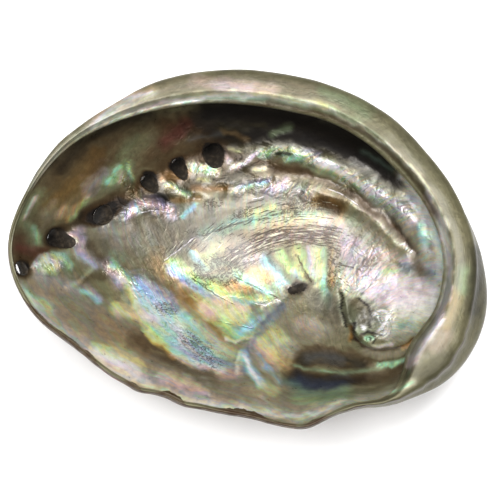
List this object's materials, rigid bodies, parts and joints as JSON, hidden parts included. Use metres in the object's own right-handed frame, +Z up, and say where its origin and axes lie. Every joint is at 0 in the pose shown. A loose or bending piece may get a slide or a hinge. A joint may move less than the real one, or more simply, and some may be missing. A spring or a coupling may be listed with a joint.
{
  "type": "abalone shell",
  "caption": "Large ear-shaped sea shell lying on its back, pearly bowl up, with a rolled shelf along one side and a row of breathing holes.",
  "frame": {"origin": "middle of the shell's bounding box in plan, at the level of the surface that it rests on", "axes": "+X along the shell's length, from the old breathing holes' young end on the left to the coil's end on the right; +Y towards the shelf; +Z up, out of the pearly bowl"},
  "size_m": [0.1508, 0.1162, 0.0422],
  "materials": {
    "nacre": "gloss"
  },
  "bodies": {
    "root": {"shell": "nacre"}
  },
  "joints": []
}
